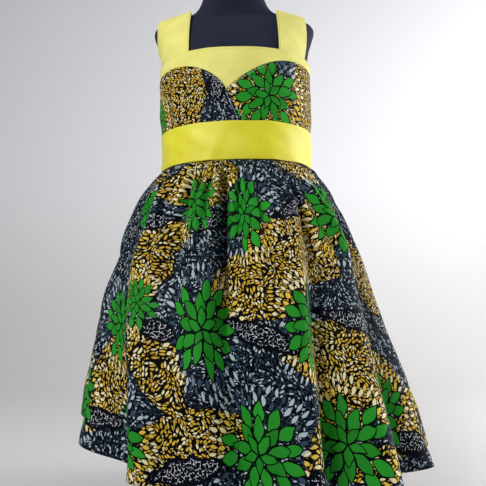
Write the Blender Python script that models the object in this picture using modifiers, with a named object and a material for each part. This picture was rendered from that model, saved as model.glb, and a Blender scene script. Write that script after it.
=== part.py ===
"""A girl's sleeveless wax print dress, worn by a limbless child's dress form on a stand.

Metres, +Z up, the front of the dress towards -Y. The origin is the centre of the stand's
underside. Angles round the dress are degrees from the centre front, positive towards +X, so
the side seams are at 90 and -90 and the centre back is at 180.
"""

import math
from collections import namedtuple

import bmesh
import bpy
import numpy as np
from mathutils import Vector
from mathutils.bvhtree import BVHTree

# Heights of the dress above the stand's underside
HEM_Z = 0.110
SKIRT_DROP = 0.356
BAND_DROP = 0.050
BODICE_DROP = 0.101
WAIST_Z = HEM_Z + SKIRT_DROP
BAND_TOP_Z = WAIST_Z + BAND_DROP
BODICE_TOP_Z = BAND_TOP_Z + BODICE_DROP

# Cloth
WALL = 0.0012
SEAM_GAP = 0.0004
EASE = 0.0016
BAND_PROUD = 0.0006
SIDE_SEAM = 91.0
CENTRE_BACK = 180.0

# Sweetheart seam, where the cups meet the yoke
POINT_X = -0.0110
POINT_RISE = 0.041
POINT_ROOM = 2.0
POINT_ROOM_SPREAD = 15.0
CENTRE_SEAM_FOOT_X = 0.0065
Arc = namedtuple("Arc", "span rise fullness")
LEFT_ARC = Arc(0.080, 0.040, 0.70)
RIGHT_ARC = Arc(0.105, 0.046, 1.0)
CUP_FULLNESS = 0.0030
CUP_ANGLE = 36.0
CUP_HEIGHT_Z = BAND_TOP_Z + 0.045
CUP_SPREAD_ANGLE = 30.0
CUP_SPREAD_HEIGHT = 0.032

# Armholes and shoulder straps
ARMHOLE_HALF = 24.0
ARMHOLE_DIP = 0.008
STRAP_INNER_X = 0.0585
STRAP_OUTER_X = 0.0970
STRAP_SPREAD = 0.0075
STRAP_SHOULDER_EASE = 1.6

# Zip in the centre back
ZIP_HALF_WIDTH = 0.0018
ZIP_SHARE = 0.15
ZIP_TOP_INSET = 0.004
ZIP_FROM_MIDDLE = 0.083
SLIDER_Z = BODICE_TOP_Z - 0.009
SLIDER_SIZE = (0.0062, 0.0032, 0.0095)
LUG_SIZE = (0.0018, 0.0042, 0.0050)
LUG_OVERLAP = 0.0004
LUG_EYE = 0.0022
EYE_REACH = 0.0022
PULL_SIZE = (0.0044, 0.0012, 0.0165)
PULL_BAR = 0.0012
PULL_SLOT = (0.0030, 0.0028)

# Stand
BASE_RADIUS = 0.140
BASE_THICKNESS = 0.010
BASE_EDGE = 0.003
POLE_RADIUS = 0.0090
PLATE_RADIUS = 0.050
PLATE_THICKNESS = 0.006

SQUARENESS = 2.25
RING_STEPS = 44

# The form from its foot to the top of its neck
FormSection = namedtuple("FormSection", "above_waist half_width half_depth centre_y")
FORM = [
    FormSection(-0.1810, 0.0860, 0.0700, 0.002),
    FormSection(-0.1785, 0.0975, 0.0800, 0.002),
    FormSection(-0.1710, 0.1030, 0.0850, 0.002),
    FormSection(-0.1360, 0.1065, 0.0890, 0.003),
    FormSection(-0.0860, 0.1050, 0.0885, 0.001),
    FormSection(-0.0360, 0.1020, 0.0865, 0.000),
    FormSection(0.0000, 0.1010, 0.0853, -0.001),
    FormSection(0.0500, 0.1015, 0.0845, -0.001),
    FormSection(0.1000, 0.1035, 0.0850, -0.001),
    FormSection(0.1280, 0.1035, 0.0835, 0.000),
    FormSection(0.1510, 0.1035, 0.0790, 0.002),
    FormSection(0.1750, 0.1065, 0.0700, 0.004),
    FormSection(0.1950, 0.1125, 0.0590, 0.006),
    FormSection(0.2090, 0.1162, 0.0490, 0.007),
    FormSection(0.2155, 0.1135, 0.0430, 0.007),
    FormSection(0.2195, 0.1055, 0.0400, 0.007),
    FormSection(0.2235, 0.0910, 0.0385, 0.006),
    FormSection(0.2285, 0.0700, 0.0385, 0.005),
    FormSection(0.2350, 0.0580, 0.0395, 0.004),
    FormSection(0.2450, 0.0495, 0.0405, 0.002),
    FormSection(0.2610, 0.0437, 0.0410, 0.000),
    FormSection(0.2800, 0.0420, 0.0400, 0.000),
    FormSection(0.3000, 0.0412, 0.0395, -0.001),
    FormSection(0.3040, 0.0388, 0.0370, -0.001),
    FormSection(0.3055, 0.0330, 0.0318, -0.001),
]

# The skirt's mean outline, from the waist seam to the hem
SkirtSection = namedtuple("SkirtSection", "share half_width half_depth centre_x centre_y")
SKIRT = [
    SkirtSection(0.000, 0.1031, 0.0874, 0.000, -0.001),
    SkirtSection(0.020, 0.1085, 0.0935, 0.000, -0.002),
    SkirtSection(0.045, 0.1140, 0.1000, 0.000, -0.003),
    SkirtSection(0.120, 0.1275, 0.1155, 0.000, -0.004),
    SkirtSection(0.205, 0.1395, 0.1300, 0.001, -0.005),
    SkirtSection(0.310, 0.1505, 0.1440, 0.001, -0.006),
    SkirtSection(0.430, 0.1615, 0.1580, 0.002, -0.006),
    SkirtSection(0.600, 0.1795, 0.1780, 0.004, -0.007),
    SkirtSection(0.780, 0.1945, 0.1960, 0.009, -0.008),
    SkirtSection(1.000, 0.2090, 0.2120, 0.014, -0.009),
]

# Crests and valleys of the skirt in the order they come round it. The angles are at the waist
# seam and at the hem, and the reaches, in millimetres out of the mean outline, are just under
# the gathers, half way down and at the hem.
Fold = namedtuple("Fold", "waist_angle hem_angle upper middle hem")
FOLDS = [
    Fold(-180, -180, 3, 6, 9),
    Fold(-170, -169, -5, -9, -13),
    Fold(-161, -158, 4, 9, 15),
    Fold(-151, -148, -6, -8, -12),
    Fold(-143, -138, 3, 10, 18),
    Fold(-133, -128, -5, -11, -16),
    Fold(-125, -118, 4, 8, 13),
    Fold(-116, -109, -6, -8, -12),
    Fold(-107, -100, 3, 9, 15),
    Fold(-98, -90, -5, -8, -11),
    Fold(-91, -81, 4, 7, 10),
    Fold(-84, -69, -4, -6, -8),
    Fold(-76, -55, 4, 8, 11),
    Fold(-66, -40, -6, -11, -18),
    Fold(-50, -30, 4, 12, 18),
    Fold(-30, -22, -8, -4, 2),
    Fold(-18, -12, 4, 6, 8),
    Fold(-7, -3, -9, -12, -9),
    Fold(8, 6, 4, 5, 5),
    Fold(28, 17, 5, 12, 19),
    Fold(38, 25, -7, -12, -15),
    Fold(55, 35, 6, 10, 21),
    Fold(66, 47, -8, -11, -17),
    Fold(76, 58, 4, 9, 13),
    Fold(84, 70, -6, -9, -13),
    Fold(91, 82, 4, 8, 14),
    Fold(102, 95, -5, -9, -12),
    Fold(112, 107, 5, 10, 17),
    Fold(122, 118, -6, -8, -13),
    Fold(131, 129, 3, 7, 11),
    Fold(142, 141, -5, -10, -15),
    Fold(153, 152, 4, 9, 16),
    Fold(167, 166, -6, -8, -12),
    Fold(180, 180, 3, 6, 9),
]
REACH_SHARES = (0.0, 0.16, 0.55, 1.0)
HEM_LIFT = 0.15
HEM_LEFT_LIFT = 0.042
HEM_RIGHT_LIFT = -0.008
COLUMNS_PER_FOLD = 4
SKIRT_ROW_SHARES = (0.0, 0.02, 0.05, 0.09, 0.15, 0.23, 0.33, 0.45, 0.58, 0.72, 0.86, 1.0)


def material(name, colour, roughness, metallic=0.0):
    made = bpy.data.materials.new(name)
    made.use_nodes = True
    shader = made.node_tree.nodes["Principled BSDF"]
    shader.inputs["Base Color"].default_value = (*colour, 1.0)
    shader.inputs["Roughness"].default_value = roughness
    shader.inputs["Metallic"].default_value = metallic
    return made


def eased(share):
    """0 to 1 with a level start and finish."""
    share = min(max(share, 0.0), 1.0)
    return share * share * (3.0 - 2.0 * share)


def between(a, b, share):
    return a + (b - a) * share


def smooth_table(rows, at):
    """The columns of a table at a value of its first column, on a curve with no overshoot."""
    table = np.array(rows, float)
    keys, values = table[:, 0], table[:, 1:]
    steps = np.diff(keys)[:, None]
    slopes = np.diff(values, axis=0) / steps
    tangents = np.zeros_like(values)
    same_way = slopes[:-1] * slopes[1:] > 0
    tangents[1:-1] = np.where(
        same_way, 2 * slopes[:-1] * slopes[1:] / np.where(same_way, slopes[:-1] + slopes[1:], 1), 0
    )
    tangents[0], tangents[-1] = slopes[0], slopes[-1]
    i = int(np.clip(np.searchsorted(keys, at, side="right") - 1, 0, len(keys) - 2))
    h = float(steps[i, 0])
    t = min(max((at - keys[i]) / h, 0.0), 1.0)
    return (
        (1 + 2 * t) * (1 - t) ** 2 * values[i]
        + t * (1 - t) ** 2 * h * tangents[i]
        + t * t * (3 - 2 * t) * values[i + 1]
        + t * t * (t - 1) * h * tangents[i + 1]
    )


def ring_point(angle, half_width, half_depth, centre_y, z):
    """A point of a level ring, rounder than a box and squarer than an ellipse."""
    turn = math.radians(angle)
    across, along = math.sin(turn), math.cos(turn)
    shape = abs(across / half_width) ** SQUARENESS + abs(along / half_depth) ** SQUARENESS
    radius = shape ** (-1 / SQUARENESS)
    return Vector((radius * across, centre_y - radius * along, z))


def body_point(angle, z, out):
    """A point at a distance out from the form, level with its surface there."""
    half_width, half_depth, centre_y = smooth_table(FORM, z - WAIST_Z)
    return ring_point(angle, half_width + out, half_depth + out, centre_y, z)


def bodice_point(angle, z, proud=0.0):
    """The inner face of the bodice: the form with its ease, and fullness at the cups."""
    sideways = (abs(angle) - CUP_ANGLE) / CUP_SPREAD_ANGLE
    upwards = (z - CUP_HEIGHT_Z) / CUP_SPREAD_HEIGHT
    fullness = CUP_FULLNESS * math.exp(-(sideways**2) - upwards**2)
    return body_point(angle, z, EASE + proud + fullness)


def angle_at_x(x, z):
    """The angle of the front of the bodice that lies at x."""
    low, high = -89.0, 89.0
    for _ in range(40):
        middle = (low + high) / 2
        if bodice_point(middle, z).x < x:
            low = middle
        else:
            high = middle
    return (low + high) / 2


def sweetheart_z(angle):
    """Height of the seam between the cups and the yoke: two arcs that dip to a point."""
    x = bodice_point(angle, BAND_TOP_Z + POINT_RISE).x - POINT_X
    arc = RIGHT_ARC if x > 0 else LEFT_ARC
    left_over = 1 - min(abs(x) / arc.span, 1.0)
    return BAND_TOP_Z + POINT_RISE + arc.rise * (1 - left_over**2) ** arc.fullness


def bodice_top_z(angle):
    """Upper edge of the bodice: level, with a shallow armhole at each side."""
    away = abs(abs(angle) - 90.0) / ARMHOLE_HALF
    dip = 0.5 * (1 + math.cos(math.pi * min(away, 1.0)))
    return BODICE_TOP_Z - ARMHOLE_DIP * dip


def seam_inset(angle, z):
    """Degrees that half a seam's gap takes up."""
    point = body_point(angle, z, EASE)
    return math.degrees(SEAM_GAP / 2 / math.hypot(point.x, point.y))


def sheet_mesh(name, columns, rows, point):
    """An open grid whose corners come from point(across, up), each from 0 to 1."""
    shape = bmesh.new()
    bmesh.ops.create_grid(shape, x_segments=columns, y_segments=rows, size=0.5)
    for vertex in shape.verts:
        vertex.co = point(vertex.co.x + 0.5, vertex.co.y + 0.5)
    mesh = bpy.data.meshes.new(name)
    shape.to_mesh(mesh)
    shape.free()
    mesh.shade_smooth()
    return mesh


def place(name, data, finish):
    made = bpy.data.objects.new(name, data)
    data.materials.append(finish)
    dress_parts.objects.link(made)
    made.parent = stand_origin
    return made


def cloth(name, columns, rows, point, finish):
    """One cut panel: an open sheet, thickened outwards."""
    made = place(name, sheet_mesh(name, columns, rows, point), finish)
    wall = made.modifiers.new("Wall", "SOLIDIFY")
    wall.thickness = WALL
    wall.offset = 1.0
    return made


def loft(name, rings, finish):
    """A closed body through level rings of the same count of points, lowest first."""
    shape = bmesh.new()
    levels = [[shape.verts.new(point) for point in ring] for ring in rings]
    for lower, upper in zip(levels, levels[1:]):
        for i, corner in enumerate(lower):
            j = (i + 1) % len(lower)
            shape.faces.new((corner, lower[j], upper[j], upper[i]))
    shape.faces.new(reversed(levels[0]))
    shape.faces.new(levels[-1])
    mesh = bpy.data.meshes.new(name)
    shape.to_mesh(mesh)
    shape.free()
    mesh.shade_smooth()
    return place(name, mesh, finish)


def turned(name, profile, finish):
    """A turned piece: a profile of (radius, height) from top to bottom, spun round Z."""
    mesh = bpy.data.meshes.new(name)
    points = [(radius, 0.0, height) for radius, height in profile]
    mesh.from_pydata(points, [(i, i + 1) for i in range(len(points) - 1)], [])
    made = place(name, mesh, finish)
    spin = made.modifiers.new("Turn", "SCREW")
    spin.steps = spin.render_steps = 48
    spin.use_merge_vertices = True
    spin.merge_threshold = 0.00005
    return made


def box(name, size, centre, finish):
    shape = bmesh.new()
    bmesh.ops.create_cube(shape, size=1.0)
    bmesh.ops.scale(shape, vec=size, verts=shape.verts)
    bmesh.ops.translate(shape, vec=centre, verts=shape.verts)
    mesh = bpy.data.meshes.new(name)
    shape.to_mesh(mesh)
    shape.free()
    return place(name, mesh, finish)


def fold_reach(fold, share):
    """How far a fold stands out of the mean outline at a share of the skirt's length."""
    reaches = (0.0, fold.upper, fold.middle, fold.hem)
    for i, end in enumerate(REACH_SHARES[1:]):
        if share <= end or end == 1.0:
            start = REACH_SHARES[i]
            part = eased((share - start) / (end - start))
            return 0.001 * between(reaches[i], reaches[i + 1], part)
    return 0.0


def skirt_point(position, share, seam_shift=0.0):
    """A point of the skirt's inner face. Position counts folds, and share runs from waist to hem."""
    i = min(int(position), len(FOLDS) - 2)
    part = position - i
    near, far = FOLDS[i], FOLDS[i + 1]
    drift = eased(share)
    angle = between(
        between(near.waist_angle, near.hem_angle, drift),
        between(far.waist_angle, far.hem_angle, drift),
        part,
    )
    reach = between(fold_reach(near, share), fold_reach(far, share), eased(part))
    half_width, half_depth, centre_x, centre_y = smooth_table(SKIRT, share)
    on_ring = ring_point(angle, half_width, half_depth, centre_y, WAIST_Z)
    outwards = Vector((on_ring.x, on_ring.y - centre_y, 0.0)).normalized()
    along = Vector((-outwards.y, outwards.x, 0.0))
    flat = on_ring + outwards * reach + along * seam_shift
    side_lift = (HEM_LEFT_LIFT if angle < 0 else HEM_RIGHT_LIFT) * math.sin(math.radians(angle)) ** 2
    drop = WALL + share * (SKIRT_DROP - WALL - side_lift - HEM_LIFT * reach)
    return flat + Vector((centre_x, 0.0, -drop))


def fold_position(angle):
    """The fold nearest an angle of the waist seam."""
    return min(range(len(FOLDS)), key=lambda i: abs(FOLDS[i].waist_angle - angle))


def edge_shift(position, share):
    """How far a panel's edge is held back from its seam: further beside the zip."""
    at_zip = position in (0, len(FOLDS) - 1) and share <= ZIP_SHARE
    return ZIP_HALF_WIDTH + SEAM_GAP if at_zip else SEAM_GAP / 2


def skirt_panel(name, start, end, finish):
    """A skirt panel between two positions, its edges held back from its seams."""
    columns = COLUMNS_PER_FOLD * (end - start)
    rows = len(SKIRT_ROW_SHARES) - 1

    def point(across, up):
        share = SKIRT_ROW_SHARES[rows - round(up * rows)]
        shift = 0.0
        if across < 1e-6:
            shift = edge_shift(start, share)
        elif across > 1 - 1e-6:
            shift = -edge_shift(end, share)
        return skirt_point(between(start, end, across), share, shift)

    return cloth(name, columns, rows, point, finish)


def bodice_panel(name, columns, rows, angle_of, lower_of, upper_of, finish, proud=0.0):
    """A panel on the bodice: its angle from (across, up), its edges' heights from the angle."""

    def point(across, up):
        angle = angle_of(across, up)
        return bodice_point(angle, between(lower_of(angle), upper_of(angle), up), proud)

    return cloth(name, columns, rows, point, finish)


def strap(name, side, finish):
    """A shoulder strap: rays from the seam's level find the form, and the strap lies off it."""
    tree = BVHTree.FromObject(form, bpy.context.evaluated_depsgraph_get())
    clear = BODICE_TOP_Z + SEAM_GAP / 2

    def point(across, up):
        turn = math.pi * up
        outer_x = STRAP_OUTER_X + STRAP_SPREAD * math.sin(turn)
        x = side * between(STRAP_INNER_X, outer_x, across if side > 0 else 1 - across)
        pivot = Vector((x, 0.0, clear))
        ray = Vector((0.0, -math.cos(turn), math.sin(turn)))
        hit, normal, _, _ = tree.ray_cast(pivot + ray * 0.3, -ray)
        level = Vector((normal.x, normal.y, normal.z * math.sin(turn))).normalized()
        return hit + level * EASE * (1 + STRAP_SHOULDER_EASE * math.sin(turn))

    return cloth(name, 6, 36, point, finish)


for old in list(bpy.data.objects):
    bpy.data.objects.remove(old, do_unlink=True)

dress_parts = bpy.data.collections.new("wax_print_dress_on_form")
bpy.context.scene.collection.children.link(dress_parts)
stand_origin = bpy.data.objects.new("stand_origin", None)
dress_parts.objects.link(stand_origin)

PRINT = material("wax_print", (0.16, 0.14, 0.07), 0.62)
YELLOW = material("yellow_cotton", (0.78, 0.74, 0.10), 0.58)
JERSEY = material("form_jersey", (0.018, 0.018, 0.040), 0.85)
STEEL = material("stand_steel", (0.62, 0.62, 0.64), 0.28, 1.0)
BLACK = material("stand_base_paint", (0.03, 0.03, 0.035), 0.45)
ZIP_TEETH = material("zip_teeth", (0.03, 0.03, 0.03), 0.5)
ZIP_METAL = material("zip_metal", (0.30, 0.28, 0.24), 0.35, 1.0)

# The form: level rings through the sections, closed at the foot and at the top of the neck.
# Rings are added where the sections are far apart.
form_levels = []
for lower, upper in zip(FORM, FORM[1:]):
    parts = max(1, round((upper.above_waist - lower.above_waist) / 0.013))
    form_levels += [
        between(lower.above_waist, upper.above_waist, i / parts) for i in range(parts)
    ]
form_levels.append(FORM[-1].above_waist)
form = loft(
    "form_torso",
    [
        [body_point(360.0 * i / RING_STEPS, WAIST_Z + level, 0.0) for i in range(RING_STEPS)]
        for level in form_levels
    ],
    JERSEY,
)
bpy.context.view_layer.update()

# The stand: a round weighted base, a pole, and the plate that carries the form.
form_foot_z = WAIST_Z + FORM[0].above_waist
plate_top_z = form_foot_z - SEAM_GAP
plate_foot_z = plate_top_z - PLATE_THICKNESS
turned(
    "stand_base",
    [
        (0.0, BASE_THICKNESS),
        (BASE_RADIUS - BASE_EDGE, BASE_THICKNESS),
        (BASE_RADIUS, BASE_THICKNESS - BASE_EDGE),
        (BASE_RADIUS, 0.0),
        (0.0, 0.0),
    ],
    BLACK,
)
pole_top_z, pole_foot_z = plate_foot_z - SEAM_GAP, BASE_THICKNESS + SEAM_GAP
turned(
    "stand_pole",
    [(0.0, pole_top_z), (POLE_RADIUS, pole_top_z), (POLE_RADIUS, pole_foot_z), (0.0, pole_foot_z)],
    STEEL,
)
turned(
    "stand_plate",
    [(0.0, plate_top_z), (PLATE_RADIUS, plate_top_z), (PLATE_RADIUS, plate_foot_z), (0.0, plate_foot_z)],
    BLACK,
)

# Waistband: a front and two backs, a little proud of the bodice.
zip_half = math.degrees((ZIP_HALF_WIDTH + SEAM_GAP) / ZIP_FROM_MIDDLE)
back_edge = CENTRE_BACK - zip_half


def band_panel(name, first, last, columns):
    bodice_panel(
        name,
        columns,
        2,
        lambda across, up: between(first, last, across),
        lambda angle: WAIST_Z + SEAM_GAP / 2,
        lambda angle: BAND_TOP_Z - SEAM_GAP / 2,
        YELLOW,
        BAND_PROUD,
    )


side_inset = seam_inset(SIDE_SEAM, BAND_TOP_Z)
band_panel("waistband_front", side_inset - SIDE_SEAM, SIDE_SEAM - side_inset, 40)
band_panel("waistband_back_left", -back_edge, -SIDE_SEAM - side_inset, 20)
band_panel("waistband_back_right", SIDE_SEAM + side_inset, back_edge, 20)

# Cups: each runs from its side seam to the slanted seam in the middle.
point_angle = angle_at_x(POINT_X, BAND_TOP_Z + POINT_RISE)
foot_angle = angle_at_x(CENTRE_SEAM_FOOT_X, BAND_TOP_Z)
centre_inset = 2 * seam_inset(0.0, BAND_TOP_Z)


def bodice_foot_z(angle):
    return BAND_TOP_Z + SEAM_GAP / 2


def seam_room(angle):
    """Half the gap up or down from the sweetheart seam, which is wider where the seam is steep."""
    from_point = (angle - point_angle) / POINT_ROOM_SPREAD
    return SEAM_GAP * (0.5 + POINT_ROOM * math.exp(-(from_point**2)))


def cup_top_z(angle):
    return sweetheart_z(angle) - seam_room(angle)


def left_cup_angle(across, up):
    inner = between(foot_angle, point_angle, up) - centre_inset
    return between(side_inset - SIDE_SEAM, inner, across)


def right_cup_angle(across, up):
    inner = between(foot_angle, point_angle, up) + centre_inset
    return between(inner, SIDE_SEAM - side_inset, across)


bodice_panel("cup_left", 24, 8, left_cup_angle, bodice_foot_z, cup_top_z, PRINT)
bodice_panel("cup_right", 24, 8, right_cup_angle, bodice_foot_z, cup_top_z, PRINT)


# Yoke: from the sweetheart seam to the straight neck edge. It has a column on the seam's point.
def yoke_angle(across, up):
    if across <= 0.5:
        return between(side_inset - SIDE_SEAM, point_angle, across * 2)
    return between(point_angle, SIDE_SEAM - side_inset, across * 2 - 1)


def yoke_foot_z(angle):
    return sweetheart_z(angle) + seam_room(angle)


bodice_panel(
    "yoke_front",
    48,
    3,
    yoke_angle,
    yoke_foot_z,
    lambda angle: bodice_top_z(angle) - SEAM_GAP / 2,
    YELLOW,
)


# Back bodice: two plain panels either side of the zip.
def back_panel(name, first, last):
    bodice_panel(
        name,
        18,
        7,
        lambda across, up: between(first, last, across),
        bodice_foot_z,
        lambda angle: bodice_top_z(angle) - SEAM_GAP / 2,
        PRINT,
    )


back_panel("back_bodice_left", -back_edge, -SIDE_SEAM - side_inset)
back_panel("back_bodice_right", SIDE_SEAM + side_inset, back_edge)

strap("strap_left", -1, YELLOW)
strap("strap_right", 1, YELLOW)

# Skirt: one front and two backs, cut flared and gathered into the band.
last_position = len(FOLDS) - 1
left_seam, right_seam = fold_position(-SIDE_SEAM), fold_position(SIDE_SEAM)
skirt_panel("skirt_front", left_seam, right_seam, PRINT)
skirt_panel("skirt_back_left", 0, left_seam, PRINT)
skirt_panel("skirt_back_right", right_seam, last_position, PRINT)


# Zip: the closed chain runs down the centre back, from near the neck edge to below the waist.
def chain_point(across, up):
    z = between(WAIST_Z - ZIP_SHARE * SKIRT_DROP, BODICE_TOP_Z - ZIP_TOP_INSET, up)
    shift = between(-ZIP_HALF_WIDTH, ZIP_HALF_WIDTH, across)
    if z >= WAIST_Z:
        middle = bodice_point(CENTRE_BACK, z)
    else:
        middle = skirt_point(last_position, (WAIST_Z - z) / SKIRT_DROP)
    return middle + Vector((-shift, 0.0, 0.0))


cloth("zip_chain", 2, 26, chain_point, ZIP_TEETH)


# Zip slider with its lug, and the tab that hangs from the lug.
slider_foot_z = SLIDER_Z - SLIDER_SIZE[2] / 2
slider_back = bodice_point(CENTRE_BACK, slider_foot_z).y + WALL + SEAM_GAP
slider_y = slider_back + SLIDER_SIZE[1] / 2
slider = box("zip_slider", SLIDER_SIZE, (0.0, slider_y, SLIDER_Z), ZIP_METAL)
lug_y = slider_back + SLIDER_SIZE[1] + LUG_SIZE[1] / 2 - LUG_OVERLAP
eye_y = slider_back + SLIDER_SIZE[1] + EYE_REACH


def hidden_tool(made, target, operation):
    """Joins a box to a piece, or cuts it out, and takes the box itself out of the part."""
    made.hide_render = True
    made.display_type = "WIRE"
    change = target.modifiers.new(made.name, "BOOLEAN")
    change.operation = operation
    change.object = made


lug = box("zip_lug", LUG_SIZE, (0.0, lug_y, SLIDER_Z), ZIP_METAL)
hidden_tool(lug, slider, "UNION")
eye = box("zip_lug_eye", (LUG_SIZE[0] * 2, LUG_EYE, LUG_EYE), (0.0, eye_y, SLIDER_Z), ZIP_METAL)
hidden_tool(eye, slider, "DIFFERENCE")

# The tab hangs by the bar above its slot, which lies in the lug's eye and turns about X.
pull_hinge = bpy.data.objects.new("zip_pull_hinge", None)
pull_hinge.location = (0.0, eye_y, SLIDER_Z)
dress_parts.objects.link(pull_hinge)
pull = box("zip_pull", PULL_SIZE, (0.0, 0.0, (PULL_BAR - PULL_SIZE[2]) / 2), ZIP_METAL)
slot_size = (PULL_SLOT[0], PULL_SIZE[1] * 3, PULL_SLOT[1])
slot = box("zip_pull_slot", slot_size, (0.0, 0.0, -(PULL_BAR + PULL_SLOT[1]) / 2), ZIP_METAL)
pull.parent = slot.parent = pull_hinge
hidden_tool(slot, pull, "DIFFERENCE")
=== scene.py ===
import math
from collections import namedtuple
from functools import partial

import bpy
import numpy as np
from mathutils import Matrix, Vector


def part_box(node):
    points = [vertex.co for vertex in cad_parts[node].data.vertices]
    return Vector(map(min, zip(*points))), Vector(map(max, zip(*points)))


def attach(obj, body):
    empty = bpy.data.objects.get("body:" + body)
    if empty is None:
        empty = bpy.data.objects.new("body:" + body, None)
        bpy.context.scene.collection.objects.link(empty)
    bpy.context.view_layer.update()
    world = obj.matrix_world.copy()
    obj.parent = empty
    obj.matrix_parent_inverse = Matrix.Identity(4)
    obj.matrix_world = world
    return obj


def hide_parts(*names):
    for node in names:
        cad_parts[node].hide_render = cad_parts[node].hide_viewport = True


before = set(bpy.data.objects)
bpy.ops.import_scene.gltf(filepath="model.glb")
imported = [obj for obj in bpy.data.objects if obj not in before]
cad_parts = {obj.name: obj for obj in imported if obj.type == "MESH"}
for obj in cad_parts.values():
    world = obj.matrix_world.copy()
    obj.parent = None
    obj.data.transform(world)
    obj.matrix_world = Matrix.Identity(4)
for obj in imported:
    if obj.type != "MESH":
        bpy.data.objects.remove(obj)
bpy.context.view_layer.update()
DRESS = "dress_on_form"

# ---------------------------------------------------------------- stand
# A table-top stand: a round pressed-steel base with a rolled edge, painted satin black, a
# brushed steel pole standing in a collar, and the round plate that carries the form.


def shader_of(name, colour, roughness, metallic=0.0):
    """A new material, its node tree and its Principled shader."""
    made = bpy.data.materials.new(name)
    made.use_nodes = True
    tree = made.node_tree
    shader = tree.nodes["Principled BSDF"]
    shader.inputs["Base Color"].default_value = (*colour, 1.0)
    shader.inputs["Roughness"].default_value = roughness
    shader.inputs["Metallic"].default_value = metallic
    return made, tree, shader


def node(tree, kind, settings=None, **inputs):
    """Adds a node, its settings, and its inputs: a socket is linked, anything else is set."""
    made = tree.nodes.new(kind)
    for key, value in (settings or {}).items():
        setattr(made, key, value)
    for key, value in inputs.items():
        key = key.replace("_", " ")
        socket = made.inputs[int(key[1:])] if key[1:].isdigit() else made.inputs[key]
        if isinstance(value, bpy.types.NodeSocket):
            tree.links.new(value, socket)
        else:
            socket.default_value = value
    return made


def object_place(tree):
    return node(tree, "ShaderNodeTexCoord").outputs["Object"]


def noise(tree, where, scale, detail=2.0, dimensions="3D"):
    """Noise of about this many blotches to the metre, as a share."""
    return node(
        tree, "ShaderNodeTexNoise", {"noise_dimensions": dimensions},
        Vector=where, Scale=scale, Detail=detail,
    ).outputs["Fac"]


def spread(tree, value, low, high, to_low, to_high):
    """A share's middle stretch, low to high, spread over another range."""
    return node(
        tree, "ShaderNodeMapRange", None,
        Value=value, From_Min=low, From_Max=high, To_Min=to_low, To_Max=to_high,
    ).outputs["Result"]


def bump(tree, shader, height, strength, distance):
    bumped = node(
        tree, "ShaderNodeBump", None, Height=height, Strength=strength, Distance=distance
    )
    tree.links.new(bumped.outputs["Normal"], shader.inputs["Normal"])


def grid_mesh(name, points, flat=None, closed_round=False):
    """A smooth mesh over points[row][column], facing out when columns run to +X in front and
    rows run up. flat holds each point's place on the cut cloth, in metres."""
    rows, columns = points.shape[:2]
    mesh = bpy.data.meshes.new(name)
    index = np.arange(rows * columns).reshape(rows, columns)
    if closed_round:
        index = np.concatenate([index, index[:, :1]], axis=1)
    quads = np.stack([index[:-1, :-1], index[:-1, 1:], index[1:, 1:], index[1:, :-1]], axis=-1)
    quads = quads.reshape(-1, 4)
    mesh.from_pydata(points.reshape(-1, 3).tolist(), [], quads.tolist())
    if flat is not None:
        layer = mesh.uv_layers.new(name="cloth")
        layer.data.foreach_set("uv", flat.reshape(-1, 2)[quads.reshape(-1)].reshape(-1))
    mesh.shade_smooth()
    return mesh


def in_scene(name, data):
    made = bpy.data.objects.new(name, data)
    bpy.context.scene.collection.objects.link(made)
    return made


def add_piece(name, mesh, finish, slot, *nodes):
    """Puts a piece in the scene on the dress's body, in place of the solids that it shows."""
    made = in_scene(name, mesh)
    mesh.materials.append(finish)
    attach(made, DRESS)
    if nodes:
        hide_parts(*nodes)
    return made


def add_turned(name, profile, finish, slot, solid, sides=96):
    """A turned piece from its (radius, height) profile, lowest point first."""
    turn = np.linspace(0.0, 2 * math.pi, sides, endpoint=False)
    radius, height = np.array(profile, float).T
    points = np.stack(
        [
            radius[:, None] * np.sin(turn),
            -radius[:, None] * np.cos(turn),
            np.broadcast_to(height[:, None], (len(height), sides)),
        ],
        axis=-1,
    )
    add_piece(name, grid_mesh(name, points, closed_round=True), finish, slot, solid)


def rounded(profile, radius, steps=5):
    """The profile with each inner corner turned into an arc of about this radius."""
    points = [Vector(point) for point in profile]
    out = [points[0]]
    for before, corner, after in zip(points, points[1:], points[2:]):
        back, on = before - corner, after - corner
        reach = min(radius, back.length / 2.2, on.length / 2.2)
        start, end = corner + back.normalized() * reach, corner + on.normalized() * reach
        for i in range(steps + 1):
            t = i / steps
            out.append(start * (1 - t) ** 2 + corner * 2 * t * (1 - t) + end * t * t)
    out.append(points[-1])
    return [tuple(point) for point in out]


BASE_RADIUS, _, BASE_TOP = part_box("stand_base")[1]
PLATE_FOOT, (PLATE_RADIUS, _, PLATE_TOP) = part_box("stand_plate")[0][2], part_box("stand_plate")[1]
POLE_FOOT, (POLE_RADIUS, _, POLE_TOP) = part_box("stand_pole")[0][2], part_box("stand_pole")[1]
AXIS = 0.0005
COLLAR_FOOT, COLLAR_TOP, COLLAR_GAP = 0.0260, 0.0245, 0.0012
CAP_LIP, CAP_HEIGHT = 0.0040, 0.020

stand_paint, paint_tree, paint_shader = shader_of("satin_black_paint", (0.022, 0.022, 0.025), 0.38)
speckle = noise(paint_tree, object_place(paint_tree), 900.0, 3.0)
bump(paint_tree, paint_shader, speckle, 0.25, 0.0002)
scuffs = noise(paint_tree, object_place(paint_tree), 35.0, 5.0)
scuffed = spread(paint_tree, scuffs, 0.35, 0.7, 0.32, 0.5)
paint_tree.links.new(scuffed, paint_shader.inputs["Roughness"])

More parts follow.
